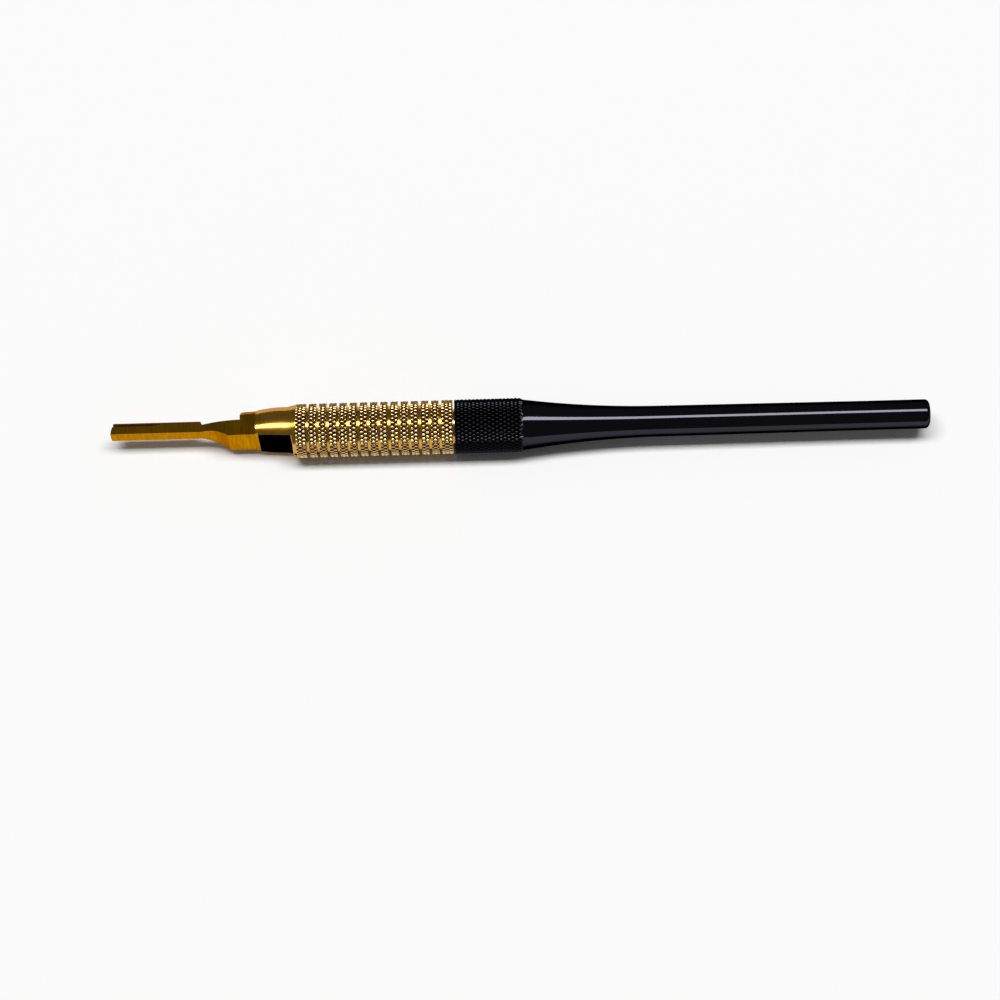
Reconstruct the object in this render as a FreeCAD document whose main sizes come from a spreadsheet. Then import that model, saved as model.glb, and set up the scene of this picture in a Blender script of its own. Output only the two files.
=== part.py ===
import FreeCAD, Part
import Sketcher
import math
import os

# Scalpel handle, round pattern, with the small detachable-blade fitting.
# Two turned steel pieces on one axis: the gold front piece, with the blade fitting, the
# neck and the ringed grip, and the black rear piece, with the collar, the waist and the
# slim shaft. A stud on the front piece screws into the rear one up to a narrow boss, so
# that an open joint stays between the two grips.
#
# Each piece is drawn with its axis along X, Y towards the side that takes the blade and
# Z across the width of the blade fitting. Stations are measured from the tip.

# Driving sizes in millimetres and degrees
SIZES = {
    # Blade fitting
    "tongue_width": 2.6,
    "tongue_back": 0.35,
    "seat_level": 1.08,
    "slot_height": 0.4,
    "slot_depth": 0.42,
    "slot_length": 9.8,
    "slot_runout": 2.4,
    "lip_thickness": 0.25,
    "boss_length": 15.9,
    "boss_end_run": 0.35,
    "nose_bevel": 0.5,
    "nose_land": 0.1,
    "nose_corner": 0.35,
    # Widening behind the boss, and the block that the blade's heel stops against
    "flare_start": 16.15,
    "flare_length": 6.5,
    "flare_radius": 18,
    "ramp_start": 16.15,
    "ramp_radius": 8.3,
    "block_width": 5.86,
    "block_back": 1.95,
    "block_front_diameter": 7.12,
    "block_rear_diameter": 7.4,
    "shoulder_station": 23.05,
    "shoulder_angle": 20,
    # Neck
    "neck_start": 25.9,
    "neck_diameter": 7.6,
    "neck_length": 5.4,
    "neck_end_diameter": 8.64,
    "neck_radius": 22,
    "flat_start": 26.35,
    "flat_length": 6.05,
    "flat_start_level": 2.22,
    "flat_end_level": 2.58,
    "flat_end_radius": 0.4,
    # Grip
    "lead_length": 2.1,
    "grip_diameter": 9.6,
    "grip_end": 60.65,
    "first_ring_groove": 35.02,
    "ring_pitch": 1.801,
    "ring_grooves": 14,
    "ring_groove_width": 0.53,
    "ring_groove_depth": 0.8,
    # Screwed joint between the two pieces
    "joint_gap": 0.3,
    "joint_boss_diameter": 6.4,
    "stud_diameter": 5,
    "stud_length": 9,
    "stud_chamfer": 0.5,
    "undercut_length": 1,
    "undercut_depth": 0.45,
    "thread_clearance": 0.05,
    "bore_spare": 1,
    "bore_chamfer": 0.4,
    "drill_angle": 118,
    # Rear piece
    "collar_length": 11.55,
    "collar_bevel": 0.6,
    "waist_radius": 174,
    "shaft_start": 97,
    "shaft_start_diameter": 5.5,
    "straight_length": 11,
    "straight_diameter": 5.2,
    "shaft_end_round": 0.8,
    "overall_length": 145,
    # How far a cut starts outside the metal
    "overrun": 1,
}

doc = FreeCAD.newDocument("scalpel_handle")
sheet = doc.addObject("Spreadsheet::Sheet", "dims")
for row, (alias, size) in enumerate(SIZES.items(), start=1):
    sheet.set("A%d" % row, alias)
    sheet.set("B%d" % row, str(size))
    sheet.setAlias("B%d" % row, alias)
doc.recompute()


# Sketching and feature helpers

def value(expression):
    return float(sheet.evalExpression(expression))


def new_body(name):
    body = doc.addObject("PartDesign::Body", name)
    body.Label = name
    return body


def origin_part(body, role):
    return next(part for part in body.Origin.OriginFeatures if part.Role == role)


def new_sketch(body, name, plane, offset=None):
    sketch = body.newObject("Sketcher::SketchObject", name)
    sketch.AttachmentSupport = [(origin_part(body, plane), "")]
    sketch.MapMode = "FlatFace"
    if offset:
        sketch.setExpression("AttachmentOffset.Base.z", offset)
    return sketch


def arc_side(start, end, radius, turn):
    # Arc of a circle from start to end, with its centre on the left or right hand
    chord = end - start
    left = FreeCAD.Vector(-chord.y, chord.x, 0).normalize()
    reach = math.sqrt(radius ** 2 - (chord.Length / 2) ** 2)
    centre = (start + end) / 2 + left * (reach if turn == "left" else -reach)
    first, last = (start, end) if turn == "left" else (end, start)
    from_angle = math.atan2(first.y - centre.y, first.x - centre.x)
    to_angle = math.atan2(last.y - centre.y, last.x - centre.x)
    if to_angle < from_angle:
        to_angle += 2 * math.pi
    circle = Part.Circle(centre, FreeCAD.Vector(0, 0, 1), radius)
    return Part.ArcOfCircle(circle, from_angle, to_angle)


def closed_outline(sketch, corners, arcs=None, tangent=()):
    # Closed outline through corners, each an (x, y) pair of expressions. arcs gives the
    # radius and the centre's side of each curved side by the number of its first corner.
    # tangent lists corners where both sides are tangent; their y is left to the solver
    # where it is marked free.
    arcs = arcs or {}
    count = len(corners)
    points = [FreeCAD.Vector(value(x), value(y.lstrip("~")), 0) for x, y in corners]
    ends = []
    for number in range(count):
        start = points[number]
        end = points[(number + 1) % count]
        if number in arcs:
            radius, turn = arcs[number]
            index = sketch.addGeometry(arc_side(start, end, value(radius), turn), False)
            ends.append((index, 1, 2) if turn == "left" else (index, 2, 1))
        else:
            index = sketch.addGeometry(Part.LineSegment(start, end), False)
            ends.append((index, 1, 2))
    for number in range(count):
        index, _, end = ends[number]
        following, start, _ = ends[(number + 1) % count]
        if (number + 1) % count in tangent:
            sketch.addConstraint(Sketcher.Constraint("Tangent", index, end, following, start))
        else:
            sketch.addConstraint(Sketcher.Constraint("Coincident", index, end, following, start))
    for number, corner in enumerate(corners):
        index, start, _ = ends[number]
        place(sketch, index, start, "DistanceX", corner[0], "x%d" % number)
        if not corner[1].startswith("~"):
            place(sketch, index, start, "DistanceY", corner[1], "y%d" % number)
    for number, (radius, _) in arcs.items():
        constraint = Sketcher.Constraint("Radius", ends[number][0], value(radius))
        bind(sketch, constraint, radius, "radius%d" % number)


def place(sketch, index, end, kind, expression, name):
    if expression == "0":
        axis = -2 if kind == "DistanceX" else -1
        sketch.addConstraint(Sketcher.Constraint("PointOnObject", index, end, axis))
        return
    constraint = Sketcher.Constraint(kind, -1, 1, index, end, value(expression))
    bind(sketch, constraint, expression, name)


def bind(sketch, constraint, expression, name):
    number = sketch.addConstraint(constraint)
    sketch.renameConstraint(number, name)
    sketch.setExpression("Constraints." + name, expression)


def revolve(body, kind, name, sketch):
    feature = body.newObject("PartDesign::" + kind, name)
    feature.Profile = sketch
    feature.ReferenceAxis = (sketch, ["H_Axis"])
    feature.Angle = 360
    return feature


def mill(body, name, sketch, depth=None):
    # A cut right through on both sides of the sketch, or one of a given depth
    pocket = body.newObject("PartDesign::Pocket", name)
    pocket.Profile = sketch
    if depth:
        pocket.setExpression("Length", depth)
    else:
        pocket.SideType = "Symmetric"
        pocket.setExpression("Length", "2 * (dims.grip_diameter + dims.overrun)")
    return pocket


def mirror_across_width(body, name, pocket):
    mirrored = body.newObject("PartDesign::Mirrored", name)
    mirrored.Originals = [pocket]
    mirrored.MirrorPlane = (origin_part(body, "XY_Plane"), [""])
    body.Tip = mirrored
    return mirrored


# Front piece: blade fitting, neck, ringed grip and stud

def turn_front_blank(body):
    sketch = new_sketch(body, "front_profile", "XY_Plane")
    boss_end = "dims.grip_end + dims.joint_gap"
    stud_end = boss_end + " + dims.stud_length"
    undercut = "dims.stud_diameter / 2 - dims.undercut_depth"
    closed_outline(sketch, [
        ("0", "0"),
        (stud_end, "0"),
        (stud_end, "dims.stud_diameter / 2 - dims.stud_chamfer"),
        (stud_end + " - dims.stud_chamfer", "dims.stud_diameter / 2"),
        (boss_end + " + dims.undercut_length", "dims.stud_diameter / 2"),
        (boss_end + " + dims.undercut_length", undercut),
        (boss_end, undercut),
        (boss_end, "dims.joint_boss_diameter / 2"),
        ("dims.grip_end", "dims.joint_boss_diameter / 2"),
        ("dims.grip_end", "dims.grip_diameter / 2"),
        ("dims.neck_start + dims.neck_length + dims.lead_length", "dims.grip_diameter / 2"),
        ("dims.neck_start + dims.neck_length", "dims.neck_end_diameter / 2"),
        ("dims.neck_start", "dims.neck_diameter / 2"),
        ("dims.neck_start", "dims.block_rear_diameter / 2"),
        ("dims.shoulder_station", "dims.block_front_diameter / 2"),
        ("0", "dims.block_front_diameter / 2"),
    ], arcs={11: ("dims.neck_radius", "left")})
    return revolve(body, "Revolution", "front_blank", sketch)


def mill_back(body):
    # The plain side: the tongue's back, the cutter's curve down to the block, the block
    sketch = new_sketch(body, "back_profile", "XY_Plane")
    drop = "(dims.block_back - dims.tongue_back)"
    run = "sqrt(%s * (2 * dims.ramp_radius - %s))" % (drop, drop)
    outside = "-(dims.grip_diameter / 2 + dims.overrun)"
    closed_outline(sketch, [
        ("-dims.overrun", "-dims.tongue_back"),
        ("-dims.overrun", outside),
        ("dims.flat_start", outside),
        ("dims.flat_start", "-dims.block_back"),
        ("dims.ramp_start + " + run, "-dims.block_back"),
        ("dims.ramp_start", "-dims.tongue_back"),
    ], arcs={4: ("dims.ramp_radius", "left")})
    return mill(body, "back_cut", sketch)


def mill_boss_top(body):
    # The boss top, bevelled at the nose so that the blade's slot slides on, and sloped at
    # its rear end down to the seat
    sketch = new_sketch(body, "boss_profile", "XY_Plane")
    top = "dims.seat_level + dims.slot_height + dims.lip_thickness"
    outside = "dims.grip_diameter / 2 + dims.overrun"
    closed_outline(sketch, [
        ("-dims.overrun", "dims.nose_land"),
        ("0", "dims.nose_land"),
        ("dims.nose_bevel", top),
        ("dims.boss_length", top),
        ("dims.boss_length + dims.boss_end_run", "dims.seat_level"),
        ("dims.boss_length + dims.boss_end_run", outside),
        ("-dims.overrun", outside),
    ])
    return mill(body, "boss_cut", sketch)


def mill_seat(body):
    # The blade's seat behind the boss, up to the slanted shoulder
    sketch = new_sketch(body, "seat_outline", "XZ_Plane", "-dims.seat_level")
    slope = "tan(dims.shoulder_angle)"
    start = "dims.boss_length + dims.boss_end_run"
    far_side = "(dims.block_width / 2 + dims.overrun)"
    closed_outline(sketch, [
        (start, "-" + far_side),
        ("dims.shoulder_station + (dims.block_width + dims.overrun) * " + slope,
         "-" + far_side),
        ("dims.shoulder_station - dims.overrun * " + slope, far_side),
        (start, far_side),
    ])
    return mill(body, "seat_cut", sketch, "dims.grip_diameter")


def mill_sides(body):
    # The tongue's edge, its rounded corner at the nose and the widening to the block
    sketch = new_sketch(body, "side_outline", "XZ_Plane")
    edge = "dims.tongue_width / 2"
    block = "dims.block_width / 2"
    outside = "dims.grip_diameter / 2 + dims.overrun"
    closed_outline(sketch, [
        ("-dims.overrun", edge + " - dims.nose_corner"),
        ("0", edge + " - dims.nose_corner"),
        ("dims.nose_corner", edge),
        ("dims.flare_start", edge),
        ("dims.flare_start + dims.flare_length", block),
        ("dims.neck_start", block),
        ("dims.neck_start", outside),
        ("-dims.overrun", outside),
    ], arcs={1: ("dims.nose_corner", "right"), 3: ("dims.flare_radius", "right")})
    pocket = mill(body, "side_cut", sketch)
    return mirror_across_width(body, "side_cuts", pocket)


def mill_slots(body):
    # The groove along each edge that holds the blade down, run out by the cutter
    sketch = new_sketch(body, "slot_outline", "XZ_Plane", "-dims.seat_level")
    floor = "dims.tongue_width / 2 - dims.slot_depth"
    outside = "dims.tongue_width / 2 + dims.overrun"
    closed_outline(sketch, [
        ("-dims.overrun", floor),
        ("dims.slot_length - dims.slot_runout", floor),
        ("dims.slot_length", "dims.tongue_width / 2"),
        ("dims.slot_length", outside),
        ("-dims.overrun", outside),
    ])
    pocket = mill(body, "slot_cut", sketch, "dims.slot_height")
    return mirror_across_width(body, "slot_cuts", pocket)


def mill_neck_flat(body):
    # The flat on the neck's plain side, which follows the neck's taper
    sketch = new_sketch(body, "flat_profile", "XY_Plane")
    flat_end = "dims.flat_start + dims.flat_length"
    outside = "-(dims.grip_diameter / 2 + dims.overrun)"
    closed_outline(sketch, [
        ("dims.flat_start", "-dims.flat_start_level"),
        ("dims.flat_start", outside),
        (flat_end, outside),
        (flat_end, "-(dims.flat_end_level + dims.flat_end_radius)"),
        (flat_end + " - dims.flat_end_radius", "-dims.flat_end_level"),
    ], arcs={3: ("dims.flat_end_radius", "left")})
    return mill(body, "neck_flat", sketch)


def turn_ring_grooves(body):
    sketch = new_sketch(body, "ring_groove_profile", "XY_Plane")
    front = "dims.first_ring_groove - dims.ring_groove_width / 2"
    rear = "dims.first_ring_groove + dims.ring_groove_width / 2"
    floor = "dims.grip_diameter / 2 - dims.ring_groove_depth"
    outside = "dims.grip_diameter / 2 + dims.overrun"
    closed_outline(sketch, [(front, floor), (rear, floor), (rear, outside), (front, outside)])
    groove = revolve(body, "Groove", "ring_groove", sketch)
    pattern = body.newObject("PartDesign::LinearPattern", "ring_grooves")
    pattern.Originals = [groove]
    pattern.Direction = (origin_part(body, "X_Axis"), [""])
    pattern.Mode = "Spacing"
    pattern.setExpression("Offset", "dims.ring_pitch")
    pattern.setExpression("Occurrences", "dims.ring_grooves")
    body.Tip = pattern
    return pattern


def make_blade_head():
    body = new_body("blade_head")
    turn_front_blank(body)
    mill_back(body)
    mill_boss_top(body)
    mill_seat(body)
    mill_sides(body)
    mill_slots(body)
    mill_neck_flat(body)
    turn_ring_grooves(body)
    return body


# Rear piece: collar, waist, slim shaft and threaded bore

def turn_rear_blank(body):
    sketch = new_sketch(body, "rear_profile", "XY_Plane")
    front = "dims.grip_end + dims.joint_gap"
    collar_end = front + " + dims.collar_length"
    waist_start = "(%s + dims.collar_bevel)" % collar_end
    waist_rise = "(dims.shaft_start - %s)^2 / (2 * dims.waist_radius)" % waist_start
    closed_outline(sketch, [
        (front, "0"),
        ("dims.overall_length", "0"),
        ("dims.overall_length", "dims.straight_diameter / 2"),
        ("dims.overall_length - dims.straight_length", "dims.straight_diameter / 2"),
        ("dims.shaft_start", "dims.shaft_start_diameter / 2"),
        (waist_start, "~dims.shaft_start_diameter / 2 + " + waist_rise),
        (collar_end, "dims.grip_diameter / 2"),
        (front, "dims.grip_diameter / 2"),
    ], arcs={4: ("dims.waist_radius", "right")}, tangent=(4,))
    return revolve(body, "Revolution", "rear_blank", sketch)


def bore_for_stud(body):
    sketch = new_sketch(body, "bore_profile", "XY_Plane")
    mouth = "dims.grip_end + dims.joint_gap"
    floor = mouth + " + dims.stud_length + dims.bore_spare"
    wall = "(dims.stud_diameter / 2 + dims.thread_clearance)"
    point = "%s / tan(dims.drill_angle / 2)" % wall
    closed_outline(sketch, [
        (mouth, "0"),
        (floor + " + " + point, "0"),
        (floor, wall),
        (mouth + " + dims.bore_chamfer", wall),
        (mouth, wall + " + dims.bore_chamfer"),
    ])
    return revolve(body, "Groove", "stud_bore", sketch)


def round_shaft_end(body, blank):
    end = value("dims.overall_length")
    names = []
    for number, edge in enumerate(blank.Shape.Edges, start=1):
        box = edge.BoundBox
        at_end = abs(box.XMin - end) < 1e-6 and abs(box.XMax - end) < 1e-6
        if at_end and edge.Length > math.pi:
            names.append("Edge%d" % number)
    fillet = body.newObject("PartDesign::Fillet", "shaft_end")
    fillet.Base = (blank, names)
    fillet.setExpression("Radius", "dims.shaft_end_round")
    return fillet


def make_shank():
    body = new_body("shank")
    turn_rear_blank(body)
    bore = bore_for_stud(body)
    doc.recompute()
    round_shaft_end(body, bore)
    return body


# Placement: the axis lies along X, half a grip above the table, with the handle's
# middle over the origin

def lay_down(body):
    body.setExpression("Placement.Base.x", "-dims.overall_length / 2")
    body.setExpression("Placement.Base.z", "dims.grip_diameter / 2")


def check(item):
    bad_state = [state for state in item.State if state in ("Invalid", "Error")]
    if bad_state:
        raise RuntimeError("%s: %s" % (item.Name, bad_state))


pieces = [make_blade_head(), make_shank()]
for piece in pieces:
    lay_down(piece)
doc.recompute()

for item in doc.Objects:
    check(item)

os.makedirs("parts", exist_ok=True)
for piece in pieces:
    shape = piece.Shape
    if shape.isNull() or not shape.isValid() or len(shape.Solids) != 1:
        raise RuntimeError("%s is not one valid solid" % piece.Label)
    shape.exportStep("parts/%s.step" % piece.Label)
    box = shape.optimalBoundingBox()
    print(piece.Label, "volume %.2f" % shape.Volume,
          "x %.2f..%.2f" % (box.XMin, box.XMax),
          "y %.2f..%.2f" % (box.YMin, box.YMax),
          "z %.2f..%.2f" % (box.ZMin, box.ZMax))
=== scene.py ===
import math

import bmesh
import bpy
from mathutils import Matrix, Vector


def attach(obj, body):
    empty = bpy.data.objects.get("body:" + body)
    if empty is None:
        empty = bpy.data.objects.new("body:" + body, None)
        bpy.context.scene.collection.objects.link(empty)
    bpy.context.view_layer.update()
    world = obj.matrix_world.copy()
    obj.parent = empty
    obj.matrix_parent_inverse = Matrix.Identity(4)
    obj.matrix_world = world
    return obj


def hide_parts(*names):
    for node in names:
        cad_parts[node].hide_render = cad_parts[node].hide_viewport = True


# Round scalpel handle: gold front piece with the blade fitting, black rear piece.
# Sizes in the dictionaries are millimetres; stations run along the axis from the tip.

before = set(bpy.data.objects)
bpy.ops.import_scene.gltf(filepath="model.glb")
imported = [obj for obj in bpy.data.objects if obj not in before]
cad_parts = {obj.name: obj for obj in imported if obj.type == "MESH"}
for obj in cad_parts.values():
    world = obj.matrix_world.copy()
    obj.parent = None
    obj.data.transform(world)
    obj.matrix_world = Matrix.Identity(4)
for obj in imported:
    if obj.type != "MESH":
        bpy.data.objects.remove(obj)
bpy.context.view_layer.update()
print("frame loaded")

handle = {
    "length": 145.0,
    "axisHeight": 4.8,
    "gripRadius": 4.8,
    "gripEnd": 60.65,
    "collarFront": 60.95,
    "weld": 0.0005,                  # points closer than this are joined
}


def metres(size):
    return size * 0.001


def atStation(station):
    return metres(station - handle["length"] / 2)


def linearColour(hexCode):
    channels = [int(hexCode[start:start + 2], 16) / 255 for start in (1, 3, 5)]
    linear = [c / 12.92 if c <= 0.04045 else ((c + 0.055) / 1.055) ** 2.4 for c in channels]
    return (*linear, 1.0)


def addNode(tree, kind, inputs=None, **settings):
    node = tree.nodes.new(kind)
    for name, setting in settings.items():
        setattr(node, name, setting)
    for socket, value in (inputs or {}).items():
        if isinstance(value, bpy.types.NodeSocket):
            tree.links.new(value, node.inputs[socket])
        else:
            node.inputs[socket].default_value = value
    return node


# Materials

pattern = {
    "noiseLow": 0.3,                 # most of a noise lies between these two
    "noiseHigh": 0.7,
    "grainStretch": 0.06,            # tool lines change this much slower across than along
    "wearStarts": 0.99,              # cosine between the true and the rounded normal
    "wearFull": 0.8,
    "crest": {"starts": 0.4, "full": 0.9, "share": 0.75},
    "groove": {"starts": 0.3, "full": 0.78, "share": 0.95},
}


def newMaterial(name):
    material = bpy.data.materials.new(name)
    material.use_nodes = True
    material.node_tree.nodes.clear()
    return material


def addGrain(tree, fineness, shift=0.0):
    # Fine tool lines that run round the axis and across the milled faces: a noise that
    # changes quickly along the axis (fineness in lines per mm) and slowly across it.
    # Real lines are finer than this; at this size they still show in a picture.
    place = addNode(tree, "ShaderNodeTexCoord").outputs["Object"]
    along = fineness / metres(1)
    across = along * pattern["grainStretch"]
    stretched = addNode(tree, "ShaderNodeMapping", {
        "Vector": place,
        "Scale": (along, across, across),
        "Location": (shift, shift, shift),
    })
    noise = addNode(tree, "ShaderNodeTexNoise", {
        "Vector": stretched.outputs["Vector"], "Scale": 1.0, "Detail": 3.0, "Roughness": 0.6})
    return addNode(tree, "ShaderNodeMapRange", {
        "Value": noise.outputs["Fac"], "From Min": pattern["noiseLow"],
        "From Max": pattern["noiseHigh"]}).outputs["Result"]


def addPatches(tree, size, low, high):
    # Slow cloudy change over a few millimetres, as handling and coating leave it
    place = addNode(tree, "ShaderNodeTexCoord").outputs["Object"]
    noise = addNode(tree, "ShaderNodeTexNoise", {
        "Vector": place, "Scale": 1 / metres(size), "Detail": 2.0, "Roughness": 0.5})
    return addNode(tree, "ShaderNodeMapRange", {
        "Value": noise.outputs["Fac"], "From Min": pattern["noiseLow"],
        "From Max": pattern["noiseHigh"], "To Min": low, "To Max": high}).outputs["Result"]


def addEdgeWear(tree, width, strength):
    # Full on broken edges, where the true normal leaves the one rounded over this width
    rounded = addNode(tree, "ShaderNodeBevel", {"Radius": metres(width)}, samples=4)
    normal = addNode(tree, "ShaderNodeNewGeometry").outputs["Normal"]
    alike = addNode(tree, "ShaderNodeVectorMath", {0: rounded.outputs["Normal"], 1: normal},
                    operation="DOT_PRODUCT").outputs["Value"]
    return addNode(tree, "ShaderNodeMapRange", {
        "Value": alike, "From Min": pattern["wearStarts"], "From Max": pattern["wearFull"],
        "To Max": strength}).outputs["Result"]


def addKnurlShade(tree, colour, crestColour, paintedGrooveShade):
    # Paler gold crests are part handling wear, part painted highlight; darker black crests and
    # all dark grooves are painted shade
    shaded = colour
    for name, tint in (("crest", crestColour), ("groove", paintedGrooveShade)):
        ramp = pattern[name]
        amount = addNode(tree, "ShaderNodeAttribute", attribute_name=name).outputs["Fac"]
        factor = addNode(tree, "ShaderNodeMapRange", {
            "Value": amount, "From Min": ramp["starts"], "From Max": ramp["full"],
            "To Max": ramp["share"]}).outputs["Result"]
        shaded = addNode(tree, "ShaderNodeMix", {
            "Factor": factor, "A": shaded, "B": linearColour(tint)},
            data_type="RGBA").outputs["Result"]
    return shaded


goldCoating = {
    "wornColour": "#EFD490",
    "edgeTint": "#CDA050",
    # crests: part handling wear, part painted highlight that whitens their glints
    "crestColour": "#F9E2AC",
    # painted shade for the knurl's grooves and the blade slots' floors
    "paintedGrooveShade": "#170D03",
    "grainPerMm": 6.0,
    "grainDepth": 0.012,
    "grainShare": 0.8,               # of the roughness range, on top of the patches
    "patchSize": 4.0,
    "wearWidth": 0.09,
    "wearStrength": 0.75,
    "coatRoughness": 0.06,
}
milledFinish = {"colour": "#D09A20", "deepColour": "#9E6C0A", "roughness": (0.08, 0.13),
                "relief": 0.3, "coat": 0.0}
turnedFinish = {"colour": "#E4B044", "deepColour": "#C08A24", "roughness": (0.12, 0.18),
                "relief": 0.2, "coat": 0.45}


def makeGoldCoating(name, finish):
    # Titanium nitride on stainless steel: a warm metal whose fine tool lines catch the
    # light, with paler worn edges
    material = newMaterial(name)
    tree = material.node_tree
    smoothest, roughest = finish["roughness"]
    grain = addGrain(tree, goldCoating["grainPerMm"])
    patches = addPatches(tree, goldCoating["patchSize"], smoothest, roughest)
    streak = addNode(tree, "ShaderNodeMath", {
        0: grain, 1: (roughest - smoothest) * goldCoating["grainShare"], 2: patches},
        operation="MULTIPLY_ADD")
    body = addNode(tree, "ShaderNodeMix", {
        "Factor": grain, "A": linearColour(finish["colour"]),
        "B": linearColour(finish["deepColour"])}, data_type="RGBA").outputs["Result"]
    worn = addEdgeWear(tree, goldCoating["wearWidth"], goldCoating["wearStrength"])
    edged = addNode(tree, "ShaderNodeMix", {
        "Factor": worn, "A": body, "B": linearColour(goldCoating["wornColour"])},
        data_type="RGBA").outputs["Result"]
    coloured = addKnurlShade(tree, edged, goldCoating["crestColour"],
                             goldCoating["paintedGrooveShade"])
    lines = addNode(tree, "ShaderNodeBump", {
        "Height": grain, "Strength": finish["relief"],
        "Distance": metres(goldCoating["grainDepth"])})
    shader = addNode(tree, "ShaderNodeBsdfPrincipled", {
        "Base Color": coloured,
        "Metallic": 1.0,
        "Roughness": streak.outputs[0],
        "Specular Tint": linearColour(goldCoating["edgeTint"]),
        "Normal": lines.outputs["Normal"],
        "Coat Weight": finish["coat"],
        "Coat Roughness": goldCoating["coatRoughness"],
    })
    addNode(tree, "ShaderNodeOutputMaterial", {"Surface": shader.outputs["BSDF"]})
    return material


darkCoating = {
    "edgeTint": "#000000",
    # crests darker than the coating: painted shade that dims their glints
    "crestColour": "#1A1A1E",
    # painted shade for the collar knurl's grooves
    "paintedGrooveShade": "#060607",
    "grainShift": 3.0,
    "grainDepth": 0.01,
    "grainRoughness": 0.03,
    "patchSize": 5.0,
    "wearWidth": 0.08,
    "wearStrength": 0.6,
}
shankFinish = {"colour": "#323238", "wornColour": "#46464D", "roughness": (0.03, 0.07),
               "grainPerMm": 5.0, "relief": 0.05}
# near black on the neck's flat: a painted dark reflection of the shadowed floor
flatFinish = {"colour": "#17130F", "wornColour": "#6A5320", "roughness": (0.1, 0.18),
              "grainPerMm": 6.0, "relief": 0.15}


def makeDarkFinish(name, finish):
    # A dark metal-like hard coating: mirrors a lamp as one crisp line and is black beside it.
    # On the neck's flat the near-black colour is a painted dark reflection.
    material = newMaterial(name)
    tree = material.node_tree
    grain = addGrain(tree, finish["grainPerMm"], darkCoating["grainShift"])
    gloss = addPatches(tree, darkCoating["patchSize"], *finish["roughness"])
    streak = addNode(tree, "ShaderNodeMath", {
        0: grain, 1: darkCoating["grainRoughness"], 2: gloss}, operation="MULTIPLY_ADD")
    worn = addEdgeWear(tree, darkCoating["wearWidth"], darkCoating["wearStrength"])
    edged = addNode(tree, "ShaderNodeMix", {
        "Factor": worn, "A": linearColour(finish["colour"]),
        "B": linearColour(finish["wornColour"])}, data_type="RGBA").outputs["Result"]
    coloured = addKnurlShade(tree, edged, darkCoating["crestColour"],
                             darkCoating["paintedGrooveShade"])
    lines = addNode(tree, "ShaderNodeBump", {
        "Height": grain, "Strength": finish["relief"],
        "Distance": metres(darkCoating["grainDepth"])})
    shader = addNode(tree, "ShaderNodeBsdfPrincipled", {
        "Base Color": coloured,
        "Metallic": 1.0,
        "Roughness": streak.outputs[0],
        "Specular Tint": linearColour(darkCoating["edgeTint"]),
        "Normal": lines.outputs["Normal"],
    })
    addNode(tree, "ShaderNodeOutputMaterial", {"Surface": shader.outputs["BSDF"]})
    return material


milledGold = makeGoldCoating("titaniumNitrideOnMilledSteel", milledFinish)
turnedGold = makeGoldCoating("titaniumNitrideOnTurnedSteel", turnedFinish)
darkFlat = makeDarkFinish("paintedDarkReflectionOnFlat", flatFinish)
glossyBlack = makeDarkFinish("glossyBlackCoatingOnSteel", shankFinish)
print("materials made")


# Turned surfaces: a section spun about the axis, with a diamond knurl rolled into its crests

knurl = {
    "around": 38,
    "axialPitch": 1.36,
    "depth": 0.27,
    "crestFullness": 0.65,
    "stepsPerDiamond": 10,
    "endMargin": 0.3,                # in rows, kept free beside a ring's edge
}


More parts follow.
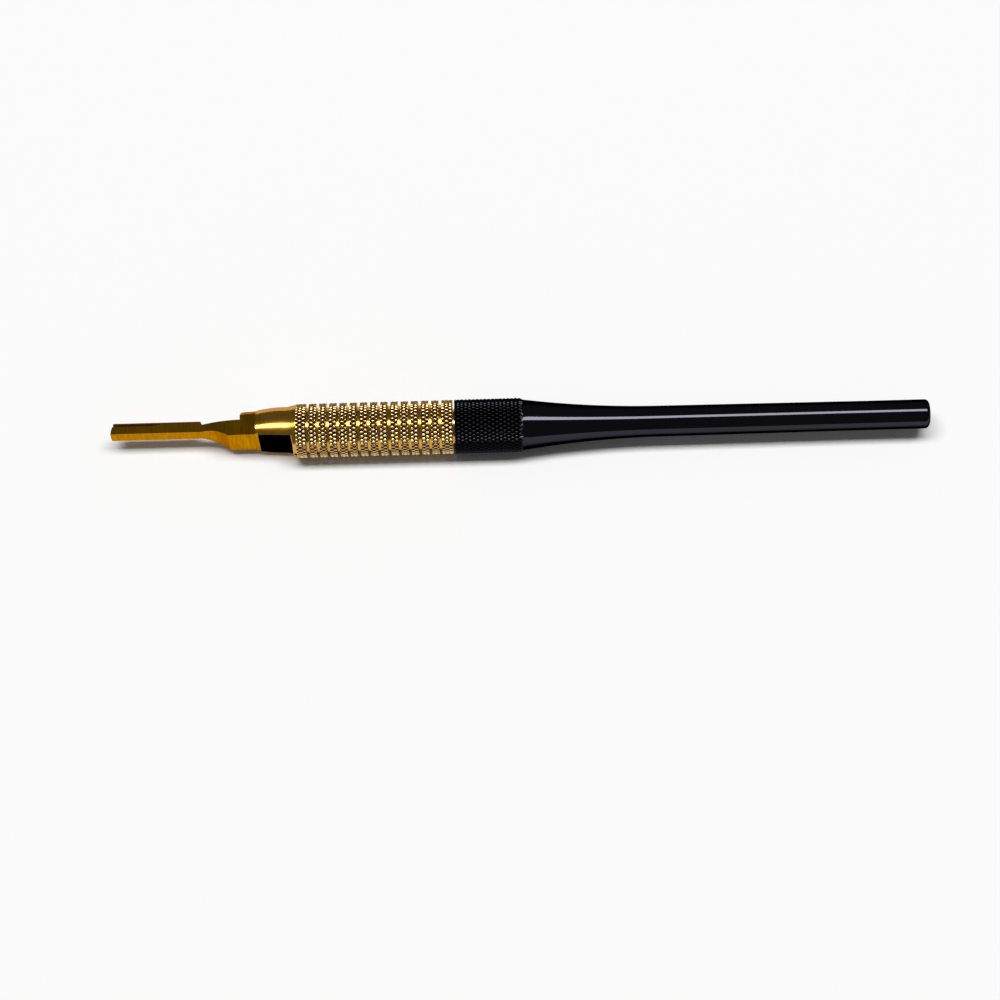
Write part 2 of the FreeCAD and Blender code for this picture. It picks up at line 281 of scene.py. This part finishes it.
def makeTurningTree():
    tree = bpy.data.node_groups.new("turnAndKnurl", "GeometryNodeTree")
    sockets = {}
    for name, kind in (
        ("Section", "NodeSocketGeometry"),
        ("Segments", "NodeSocketInt"),
        ("Axis Height", "NodeSocketFloat"),
        ("Crest Radius", "NodeSocketFloat"),
        ("Diamonds Around", "NodeSocketInt"),
        ("Axial Pitch", "NodeSocketFloat"),
        ("Knurl Depth", "NodeSocketFloat"),
        ("Crest Fullness", "NodeSocketFloat"),
        ("Finish", "NodeSocketMaterial"),
    ):
        sockets[name] = tree.interface.new_socket(name=name, in_out="INPUT", socket_type=kind)
    tree.interface.new_socket(name="Turned", in_out="OUTPUT", socket_type="NodeSocketGeometry")
    given = addNode(tree, "NodeGroupInput").outputs

    # A grid with one column for each step round the axis and one row for each section point
    sectionSize = addNode(tree, "GeometryNodeAttributeDomainSize",
                          {"Geometry": given["Section"]}).outputs["Point Count"]
    columns = addNode(tree, "FunctionNodeIntegerMath", {0: given["Segments"], 1: 1}).outputs[0]
    grid = addNode(tree, "GeometryNodeMeshGrid",
                   {"Vertices X": columns, "Vertices Y": sectionSize}).outputs["Mesh"]
    index = addNode(tree, "GeometryNodeInputIndex").outputs[0]
    row = addNode(tree, "FunctionNodeIntegerMath", {0: index, 1: sectionSize},
                  operation="MODULO").outputs[0]
    column = addNode(tree, "FunctionNodeIntegerMath", {0: index, 1: sectionSize},
                     operation="DIVIDE_FLOOR").outputs[0]
    position = addNode(tree, "GeometryNodeInputPosition").outputs[0]
    sectionPoint = addNode(tree, "GeometryNodeSampleIndex",
                           {"Geometry": given["Section"], "Value": position, "Index": row},
                           data_type="FLOAT_VECTOR").outputs[0]
    knurled = addNode(tree, "GeometryNodeInputNamedAttribute", {"Name": "knurled"},
                      data_type="FLOAT").outputs[0]
    isKnurled = addNode(tree, "GeometryNodeSampleIndex",
                        {"Geometry": given["Section"], "Value": knurled, "Index": row},
                        data_type="FLOAT").outputs[0]
    split = addNode(tree, "ShaderNodeSeparateXYZ", {0: sectionPoint}).outputs

    # Two families of sharp grooves cross and leave a diamond with a rounded crest between them
    turn = addNode(tree, "ShaderNodeMath", {0: column, 1: given["Segments"]},
                   operation="DIVIDE").outputs[0]
    angle = addNode(tree, "ShaderNodeMath", {0: turn, 1: math.tau},
                    operation="MULTIPLY").outputs[0]
    around = addNode(tree, "ShaderNodeMath", {0: turn, 1: given["Diamonds Around"]},
                     operation="MULTIPLY").outputs[0]
    along = addNode(tree, "ShaderNodeMath", {0: split["X"], 1: given["Axial Pitch"]},
                    operation="DIVIDE").outputs[0]
    families = []
    banks = []
    for operation in ("ADD", "SUBTRACT"):
        phase = addNode(tree, "ShaderNodeMath", {0: along, 1: around}, operation=operation)
        wave = addNode(tree, "ShaderNodeMath", {0: phase.outputs[0], 1: 0.5},
                       operation="PINGPONG")
        families.append(wave.outputs[0])
        swing = addNode(tree, "ShaderNodeMath", {0: wave.outputs[0], 1: math.pi},
                        operation="MULTIPLY")
        banks.append(addNode(tree, "ShaderNodeMath", {0: swing.outputs[0]},
                             operation="SINE").outputs[0])
    dome = addNode(tree, "ShaderNodeMath", {0: banks[0], 1: banks[1]}, operation="MULTIPLY")
    height = addNode(tree, "ShaderNodeMath", {0: dome.outputs[0], 1: given["Crest Fullness"]},
                     operation="POWER").outputs[0]
    sunk = addNode(tree, "ShaderNodeMath", {0: 1.0, 1: height},
                   operation="SUBTRACT").outputs[0]
    cut = addNode(tree, "ShaderNodeMath", {0: sunk, 1: given["Knurl Depth"]},
                  operation="MULTIPLY").outputs[0]
    knurlRadius = addNode(tree, "ShaderNodeMath", {0: given["Crest Radius"], 1: cut},
                          operation="SUBTRACT").outputs[0]
    lowered = addNode(tree, "ShaderNodeMath", {0: split["Z"], 1: knurlRadius},
                      operation="MINIMUM").outputs[0]
    radius = addNode(tree, "ShaderNodeMix",
                     {0: isKnurled, 2: split["Z"], 3: lowered}).outputs[0]

    cosine = addNode(tree, "ShaderNodeMath", {0: angle}, operation="COSINE").outputs[0]
    sine = addNode(tree, "ShaderNodeMath", {0: angle}, operation="SINE").outputs[0]
    depth = addNode(tree, "ShaderNodeMath", {0: radius, 1: cosine},
                    operation="MULTIPLY").outputs[0]
    rise = addNode(tree, "ShaderNodeMath", {0: radius, 1: sine, 2: given["Axis Height"]},
                   operation="MULTIPLY_ADD").outputs[0]
    place = addNode(tree, "ShaderNodeCombineXYZ",
                    {"X": split["X"], "Y": depth, "Z": rise}).outputs[0]
    turned = addNode(tree, "GeometryNodeSetPosition", {"Geometry": grid, "Position": place})

    # The finishes read these: crest colours (part wear, part painted highlight or shade) and
    # the grooves' painted shade
    marked = turned.outputs[0]
    for name, amount in (("crest", height), ("groove", sunk)):
        masked = addNode(tree, "ShaderNodeMath", {0: amount, 1: isKnurled},
                         operation="MULTIPLY")
        marked = addNode(tree, "GeometryNodeStoreNamedAttribute", {
            "Geometry": marked, "Name": name, "Value": masked.outputs[0]},
            data_type="FLOAT", domain="POINT").outputs[0]

    # Each quad is split along the groove that it lies on, which keeps the groove straight
    lead = addNode(tree, "ShaderNodeMath", {0: families[0], 1: families[1]},
                   operation="SUBTRACT")
    average = addNode(tree, "GeometryNodeFieldOnDomain", {0: lead.outputs[0]},
                      data_type="FLOAT", domain="POINT")
    onFirst = addNode(tree, "FunctionNodeCompare", {0: average.outputs[0], 1: 0.0},
                      data_type="FLOAT", operation="LESS_THAN")
    firstSplit = addNode(tree, "GeometryNodeTriangulate", {
        "Mesh": marked, "Selection": onFirst.outputs[0]}, quad_method="FIXED_ALTERNATE")
    bothSplit = addNode(tree, "GeometryNodeTriangulate", {"Mesh": firstSplit.outputs[0]},
                        quad_method="FIXED")
    closed = addNode(tree, "GeometryNodeMergeByDistance",
                     {"Geometry": bothSplit.outputs[0], "Distance": metres(handle["weld"])})
    real = addNode(tree, "GeometryNodeRealizeInstances", {"Geometry": closed.outputs[0]})
    dressed = addNode(tree, "GeometryNodeSetMaterial",
                      {"Geometry": real.outputs[0], "Material": given["Finish"]})
    addNode(tree, "NodeGroupOutput", {"Turned": dressed.outputs[0]})
    return tree, sockets


turningTree, turningSockets = makeTurningTree()


def turnPiece(name, section, finish):
    # section lists (station, radius, knurled) from the axis round the outside to the axis
    mesh = bpy.data.meshes.new(name)
    mesh.from_pydata([(atStation(s), 0, metres(r)) for s, r, _ in section],
                     [(i, i + 1) for i in range(len(section) - 1)], [])
    flag = mesh.attributes.new("knurled", "FLOAT", "POINT")
    flag.data.foreach_set("value", [float(k) for _, _, k in section])
    piece = bpy.data.objects.new(name, mesh)
    bpy.context.scene.collection.objects.link(piece)
    modifier = piece.modifiers.new("turning", "NODES")
    modifier.node_group = turningTree
    for socketName, value in (
        ("Segments", knurl["around"] * knurl["stepsPerDiamond"]),
        ("Axis Height", metres(handle["axisHeight"])),
        ("Crest Radius", metres(handle["gripRadius"])),
        ("Diamonds Around", knurl["around"]),
        ("Axial Pitch", metres(knurl["axialPitch"])),
        ("Knurl Depth", metres(knurl["depth"])),
        ("Crest Fullness", knurl["crestFullness"]),
        ("Finish", finish),
    ):
        modifier[turningSockets[socketName].identifier] = value
    bpy.context.view_layer.update()
    evaluated = piece.evaluated_get(bpy.context.evaluated_depsgraph_get())
    finished = bpy.data.meshes.new_from_object(evaluated)
    piece.modifiers.clear()
    piece.data = finished
    finishMesh(finished)
    return piece


def finishMesh(mesh, sharpAngle=40):
    shell = bmesh.new()
    shell.from_mesh(mesh)
    bmesh.ops.recalc_face_normals(shell, faces=shell.faces)
    shell.to_mesh(mesh)
    shell.free()
    mesh.shade_smooth()
    mesh.set_sharp_from_angle(angle=math.radians(sharpAngle))


def steps(start, end, spacing):
    # Evenly spaced stations from start to end, both included
    count = max(1, round((end - start) / spacing))
    return [start + (end - start) * i / count for i in range(count + 1)]


def knurlRows(start, end):
    # Stations from start to end, both included, that fall on the knurl's own lattice
    middle = handle["length"] / 2
    row = knurl["axialPitch"] / knurl["stepsPerDiamond"]
    first = math.ceil((start - middle) / row + knurl["endMargin"])
    last = math.floor((end - middle) / row - knurl["endMargin"])
    return [start, *(middle + number * row for number in range(first, last + 1)), end]


# Grip of the front piece, with its ring grooves, joint boss and stud

grip = {
    "start": 33.0,
    "coneStart": 31.3,
    "coneStartRadius": 4.32,
    "coneEnd": 33.4,
    "firstGroove": 35.02,
    "pitch": 1.801,
    "grooves": 14,
    "grooveWidth": 0.53,
    "floorRadius": 4.0,
    "edgeBreak": 0.05,
    "bossRadius": 3.2,
    "studRadius": 2.5,
    "studEnd": 69.95,
    "studChamfer": 0.5,
    "undercutRadius": 2.05,
    "undercutEnd": 61.95,
}


def gripSection():
    rise = (handle["gripRadius"] - grip["coneStartRadius"]) / (
        grip["coneEnd"] - grip["coneStart"])
    startRadius = grip["coneStartRadius"] + (grip["start"] - grip["coneStart"]) * rise
    section = [(grip["start"], 0, 0), (grip["start"], startRadius, 1)]
    for station in knurlRows(grip["start"], grip["coneEnd"])[1:-1]:
        section.append((station, startRadius + (station - grip["start"]) * rise, 1))
    crest = handle["gripRadius"]
    edge = grip["edgeBreak"]
    ringStart = grip["coneEnd"]
    for number in range(grip["grooves"] + 1):
        last = number == grip["grooves"]
        centre = grip["firstGroove"] + number * grip["pitch"]
        ringEnd = handle["gripEnd"] if last else centre - grip["grooveWidth"] / 2
        inner = knurlRows(ringStart + (edge if number else 0), ringEnd - edge)
        section += [(station, crest, 1) for station in inner]
        section.append((ringEnd, crest - edge, 1))
        if last:
            break
        floorEnd = centre + grip["grooveWidth"] / 2
        floor = grip["floorRadius"]
        section += [(ringEnd, floor + edge, 0), (ringEnd + edge, floor, 0)]
        section += [(floorEnd - edge, floor, 0), (floorEnd, floor + edge, 0)]
        section.append((floorEnd, crest - edge, 1))
        ringStart = floorEnd
    end = handle["gripEnd"]
    front = handle["collarFront"]
    section += [
        (end, grip["bossRadius"], 0),
        (front, grip["bossRadius"], 0),
        (front, grip["undercutRadius"], 0),
        (grip["undercutEnd"], grip["undercutRadius"], 0),
        (grip["undercutEnd"], grip["studRadius"], 0),
        (grip["studEnd"] - grip["studChamfer"], grip["studRadius"], 0),
        (grip["studEnd"], grip["studRadius"] - grip["studChamfer"], 0),
        (grip["studEnd"], 0, 0),
    ]
    return section


knurledGrip = turnPiece("knurledGrip", gripSection(), turnedGold)
print("grip turned:", len(knurledGrip.data.polygons), "faces")


# Blade fitting and neck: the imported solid's own form, with its machined edges broken

fitting = {
    "edgeBreak": 0.065,
    "edgeSteps": 2,
    "bevelAngle": 28,
    "sharpAngle": 12,
    "flatTolerance": 0.6,
    "neckStart": 25.9,
    "flatFacing": 0.97,              # how squarely a face looks out of the flat
    "endFacing": 0.9,                # and along the axis, on the neck's shoulders
    "tongueEnd": 20.0,
    "slotFloor": (0.8, 1.0),         # nearest and farthest from the axis
    "slotHalfHeight": 0.5,
}


def finishFitting(mesh):
    # Milled faces have the deeper tool lines, the turned neck a clear gloss over them; the
    # flat's near black is painted reflection
    for finish in (milledGold, turnedGold, darkFlat):
        mesh.materials.append(finish)
    for face in mesh.polygons:
        onNeck = face.center.x > atStation(fitting["neckStart"])
        if onNeck and -face.normal.y > fitting["flatFacing"]:
            face.material_index = 2
        elif onNeck and abs(face.normal.x) < fitting["endFacing"]:
            face.material_index = 1

    # The blade slots' floors get the same painted shade as the knurl's grooves
    nearest, farthest = fitting["slotFloor"]
    depths = []
    for vertex in mesh.vertices:
        rise = abs(vertex.co.z - metres(handle["axisHeight"]))
        inSlot = (vertex.co.x < atStation(fitting["tongueEnd"])
                  and metres(nearest) < rise < metres(farthest)
                  and abs(vertex.co.y) < metres(fitting["slotHalfHeight"]))
        depths.append(float(inSlot))
    groove = mesh.attributes.new("groove", "FLOAT", "POINT")
    groove.data.foreach_set("value", depths)


def makeFitting():
    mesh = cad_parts["blade_head"].data.copy()
    mesh.name = "bladeFitting"
    weld = metres(handle["weld"])
    shell = bmesh.new()
    shell.from_mesh(mesh)
    bmesh.ops.remove_doubles(shell, verts=shell.verts, dist=weld)
    everything = shell.verts[:] + shell.edges[:] + shell.faces[:]
    bmesh.ops.bisect_plane(shell, geom=everything, dist=weld, clear_outer=True,
                           plane_co=(atStation(grip["start"]), 0, 0), plane_no=(1, 0, 0))
    rim = [edge for edge in shell.edges if edge.is_boundary]
    bmesh.ops.holes_fill(shell, edges=rim)
    bmesh.ops.dissolve_limit(shell, angle_limit=math.radians(fitting["flatTolerance"]),
                             verts=shell.verts, edges=shell.edges)
    shell.to_mesh(mesh)
    shell.free()
    mesh.materials.clear()
    piece = bpy.data.objects.new("bladeFitting", mesh)
    bpy.context.scene.collection.objects.link(piece)
    bevel = piece.modifiers.new("brokenEdges", "BEVEL")
    bevel.width = metres(fitting["edgeBreak"])
    bevel.segments = fitting["edgeSteps"]
    bevel.limit_method = "ANGLE"
    bevel.angle_limit = math.radians(fitting["bevelAngle"])
    bevel.use_clamp_overlap = True
    bpy.context.view_layer.update()
    evaluated = piece.evaluated_get(bpy.context.evaluated_depsgraph_get())
    finished = bpy.data.meshes.new_from_object(evaluated)
    piece.modifiers.clear()
    piece.data = finished
    finishMesh(finished, fitting["sharpAngle"])
    finishFitting(finished)
    return piece


bladeFitting = makeFitting()
print("fitting made:", len(bladeFitting.data.polygons), "faces")


# Rear piece: knurled collar, waist and slim shaft, with the bore for the stud

shank = {
    "boreRadius": 2.55,
    "boreEnd": 70.95,
    "boreTip": 72.482,
    "boreChamfer": 0.4,
    "edgeBreak": 0.08,
    "collarEnd": 72.5,
    "waistStart": 73.1,
    "waistRadius": 174.0,
    "waistStep": 0.8,
    "shaftStart": 97.0,
    "shaftStartRadius": 2.75,
    "straightStart": 134.0,
    "straightRadius": 2.6,
    "endRound": 0.8,
    "endRoundSteps": 8,
}


def shankSection():
    front = handle["collarFront"]
    crest = handle["gripRadius"]
    edge = shank["edgeBreak"]
    section = [
        (shank["boreTip"], 0, 0),
        (shank["boreEnd"], shank["boreRadius"], 0),
        (front + shank["boreChamfer"], shank["boreRadius"], 0),
        (front, shank["boreRadius"] + shank["boreChamfer"], 0),
        (front, crest - edge, 1),
    ]
    section += [(s, crest, 1) for s in knurlRows(front + edge, shank["collarEnd"])]

    # The waist's arc runs into the shaft's slight taper without a corner
    taper = (shank["shaftStartRadius"] - shank["straightRadius"]) / (
        shank["straightStart"] - shank["shaftStart"])
    lean = math.atan(taper)
    centreStation = shank["shaftStart"] + shank["waistRadius"] * math.sin(lean)
    centreRadius = shank["shaftStartRadius"] + shank["waistRadius"] * math.cos(lean)
    for station in steps(shank["waistStart"], shank["shaftStart"], shank["waistStep"]):
        reach = shank["waistRadius"] ** 2 - (station - centreStation) ** 2
        section.append((station, centreRadius - math.sqrt(reach), 0))
    section.append((shank["straightStart"], shank["straightRadius"], 0))
    bend = shank["endRound"]
    for number in range(shank["endRoundSteps"] + 1):
        angle = math.pi / 2 * number / shank["endRoundSteps"]
        section.append((handle["length"] - bend + bend * math.sin(angle),
                        shank["straightRadius"] - bend + bend * math.cos(angle), 0))
    section.append((handle["length"], 0, 0))
    return section


blackShank = turnPiece("blackShank", shankSection(), glossyBlack)
print("shank turned:", len(blackShank.data.polygons), "faces")


# What each piece rides on and stands for

for piece, slotName, node in (
    (bladeFitting, "gold_coating", "blade_head"),
    (knurledGrip, "gold_coating", "blade_head"),
    (blackShank, "black_coating", "shank"),
):
    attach(piece, "root")
    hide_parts(node)


# Floor, light and camera

studio = {
    "floorSize": 12000,
    "floorColour": "#FAFAFA",
    "worldColour": "#FFFFFF",
    "worldStrength": 0.12,
    "stripSize": (4480, 1120),
    "stripPlace": (0, 208, 4000),
    "stripPower": 171.0,
}


def makeFloor():
    half = metres(studio["floorSize"] / 2)
    mesh = bpy.data.meshes.new("studioFloor")
    mesh.from_pydata([(-half, -half, 0), (half, -half, 0), (half, half, 0), (-half, half, 0)],
                     [], [(0, 1, 2, 3)])
    paper = newMaterial("matteWhitePaper")
    matte = addNode(paper.node_tree, "ShaderNodeBsdfDiffuse",
                    {"Color": linearColour(studio["floorColour"])})
    addNode(paper.node_tree, "ShaderNodeOutputMaterial", {"Surface": matte.outputs["BSDF"]})
    mesh.materials.append(paper)
    floor = bpy.data.objects.new("studioFloor", mesh)
    bpy.context.scene.collection.objects.link(floor)


def addLamp(name, size, place, aim, power):
    data = bpy.data.lights.new(name, "AREA")
    data.shape = "RECTANGLE"
    data.size, data.size_y = (metres(length) for length in size)
    data.energy = power
    lamp = bpy.data.objects.new(name, data)
    lamp.location = [metres(c) for c in place]
    direction = Vector(aim) - Vector(place)
    lamp.rotation_euler = direction.to_track_quat("-Z", "Y").to_euler()
    bpy.context.scene.collection.objects.link(lamp)


makeFloor()
addLamp("overheadStrip", studio["stripSize"], studio["stripPlace"], (0, 0, 0),
        studio["stripPower"])

world = bpy.data.worlds.new("studioWorld")
world.use_nodes = True
world.node_tree.nodes.clear()
backdrop = addNode(world.node_tree, "ShaderNodeBackground", {
    "Color": linearColour(studio["worldColour"]),
    "Strength": studio["worldStrength"],
})
addNode(world.node_tree, "ShaderNodeOutputWorld", {"Surface": backdrop.outputs["Background"]})
bpy.context.scene.world = world

view = {
    "elevation": 64.5,
    "distance": 450.0,
    "focalPixels": 2538.5,
    "roll": 1.57,
    "middlePixel": (520.0, 424.9),
    "imageSize": 1000,
    "sensorWidth": 36.0,
}


def makeCamera():
    tilt = math.radians(view["elevation"])
    roll = math.radians(view["roll"])
    back = Vector((0, -math.cos(tilt), math.sin(tilt)))
    level = Vector((1, 0, 0))
    upward = back.cross(level)
    right = level * math.cos(roll) - upward * math.sin(roll)
    up = level * math.sin(roll) + upward * math.cos(roll)
    perPixel = view["distance"] / view["focalPixels"]
    half = view["imageSize"] / 2
    middle = Vector((0, 0, handle["axisHeight"]))
    place = (middle + back * view["distance"]
             - right * (view["middlePixel"][0] - half) * perPixel
             - up * (half - view["middlePixel"][1]) * perPixel)
    data = bpy.data.cameras.new("photoCamera")
    data.sensor_width = view["sensorWidth"]
    data.lens = view["focalPixels"] * view["sensorWidth"] / view["imageSize"]
    camera = bpy.data.objects.new("photoCamera", data)
    axes = Matrix((right, up, back)).transposed().to_4x4()
    camera.matrix_world = Matrix.Translation(metres(place)) @ axes
    bpy.context.scene.collection.objects.link(camera)
    bpy.context.scene.camera = camera


makeCamera()
bpy.context.scene.view_settings.view_transform = "Standard"
print("stage, lamps and camera placed")
